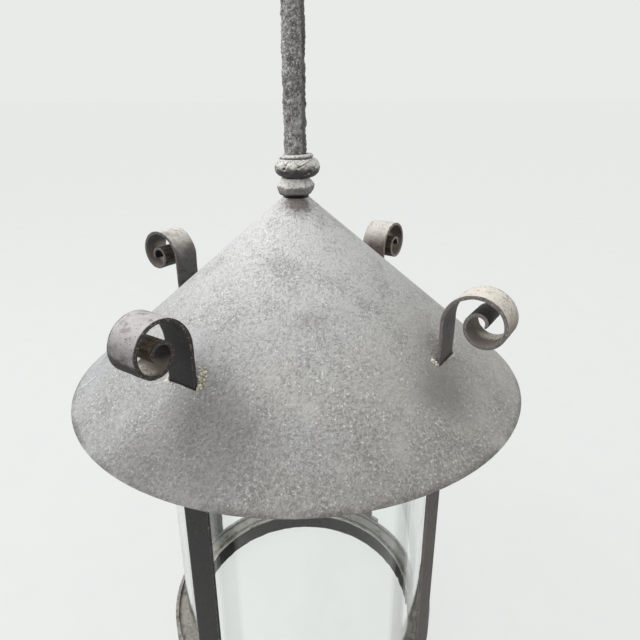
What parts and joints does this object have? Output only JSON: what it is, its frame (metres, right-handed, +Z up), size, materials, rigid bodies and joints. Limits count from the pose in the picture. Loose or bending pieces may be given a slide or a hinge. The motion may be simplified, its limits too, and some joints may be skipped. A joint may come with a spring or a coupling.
{
  "type": "gas lantern pendant",
  "caption": "Wrought-iron gas lantern pendant: conical sheet roof on a hanging pipe, scrolled strap cage, base ring and open glass cylinder.",
  "frame": {"origin": "centre of the base ring's lower edge", "axes": "+Z up along the hanging pipe; the picture looks along +Y, with +X to the right"},
  "size_m": [0.381, 0.3808, 0.65],
  "materials": {
    "pipe_iron": "pitted",
    "cast_trim": "weathered",
    "roof_sheet": "weathered",
    "strap_iron": "weathered",
    "ring_iron": "weathered",
    "hidden_iron": "sooted",
    "glass": "clear",
    "brass": "dull",
    "enamel": "enamel",
    "clay": "fired clay",
    "mantle_ash": "matt"
  },
  "bodies": {
    "lantern": {"down_rod": "pipe_iron", "knuckle_bead": "cast_trim", "faceted_collar": "cast_trim", "roof": "roof_sheet", "roof_washer": "hidden_iron", "roof_nut": "hidden_iron", "strap_front_left": "strap_iron", "strap_front_right": "strap_iron", "strap_back_right": "strap_iron", "strap_back_left": "strap_iron", "top_ring": "hidden_iron", "spider": "hidden_iron", "spider_nut_upper": "hidden_iron", "spider_nut_lower": "hidden_iron", "spider_rivets": "hidden_iron", "top_rivets": "hidden_iron", "bottom_ring": "ring_iron", "bottom_hoop": "ring_iron", "hoop_rivets": "ring_iron", "glass_cylinder": "glass", "cock_body": "brass", "injector": "brass", "mixing_tube": "brass", "deflector": "enamel", "burner_head": "brass", "ceramic_nozzle": "clay", "mantle_ring": "clay", "mantle": "mantle_ash"},
    "cock": {"cock_lever": "brass", "cock_nut": "brass"},
    "shutter": {"air_shutter": "brass"}
  },
  "joints": [
    {"name": "cock_turn", "type": "hinge", "parent": "lantern", "child": "cock", "pos_m": [0, 0, 0.242], "axis": [-1, 0, 0], "range_deg": [0, 90]},
    {"name": "shutter_turn", "type": "hinge", "parent": "lantern", "child": "shutter", "pos_m": [0, 0, 0.21], "axis": [0, 0, 1], "range_deg": [0, 45]}
  ]
}
